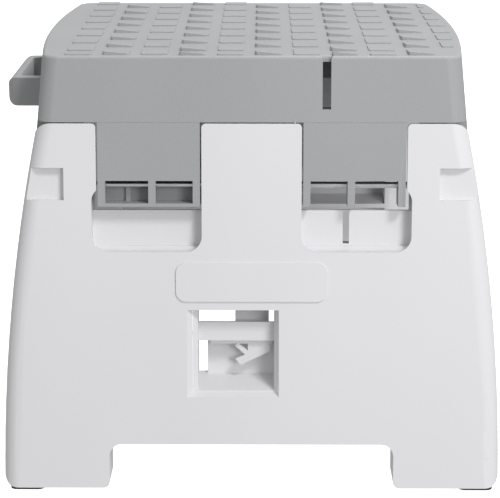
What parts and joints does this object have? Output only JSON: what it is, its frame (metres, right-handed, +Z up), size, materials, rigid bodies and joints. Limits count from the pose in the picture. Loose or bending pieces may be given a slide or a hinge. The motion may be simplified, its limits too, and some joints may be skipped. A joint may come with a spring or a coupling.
{
  "type": "folding step stool",
  "caption": "Folding one-step stool with a studded grey tread, a carry handle, and white leg panels that fold inward on steel hinge rods.",
  "frame": {"origin": "centre of the part's bounding box on the floor", "axes": "+X along the long edge of the tread, away from the carry handle; +Y from the windowed leg to the rear leg; +Z up"},
  "size_m": [0.3248, 0.3134, 0.28],
  "materials": {
    "grey_plastic": "fine moulded texture",
    "white_plastic": "satin moulded",
    "latch_plastic": "satin moulded",
    "steel": "drawn rod",
    "zinc_caps": "zinc plated",
    "spring_steel": "spring wire",
    "black_rubber": "matt"
  },
  "bodies": {
    "platform": {"step_platform": "grey_plastic"},
    "front_panel": {"front_leg": "white_plastic", "front_rod_left": "steel", "front_rod_right": "steel", "front_rod_caps": "zinc_caps", "foot_front_left": "black_rubber", "foot_front_right": "black_rubber", "latch_pin": "steel", "latch_spring": "spring_steel"},
    "rear_panel": {"rear_leg": "white_plastic", "rear_rod_left": "steel", "rear_rod_right": "steel", "rear_rod_caps": "zinc_caps", "foot_rear_left": "black_rubber", "foot_rear_right": "black_rubber"},
    "latch": {"storage_latch": "latch_plastic"}
  },
  "joints": [
    {"name": "front_fold", "type": "hinge", "parent": "platform", "child": "front_panel", "pos_m": [0, -0.12936, 0.198], "axis": [1, 0, 0], "range_deg": [0, 95.5]},
    {"name": "rear_fold", "type": "hinge", "parent": "platform", "child": "rear_panel", "pos_m": [0, 0.13229, 0.1675], "axis": [-1, 0, 0], "range_deg": [0, 95.5]},
    {"name": "latch_press", "type": "hinge", "parent": "front_panel", "child": "latch", "pos_m": [0, -0.12832, 0.09921], "axis": [1, 0, 0], "range_deg": [0, 16], "stiffness_Nm_per_rad": 0.05}
  ]
}
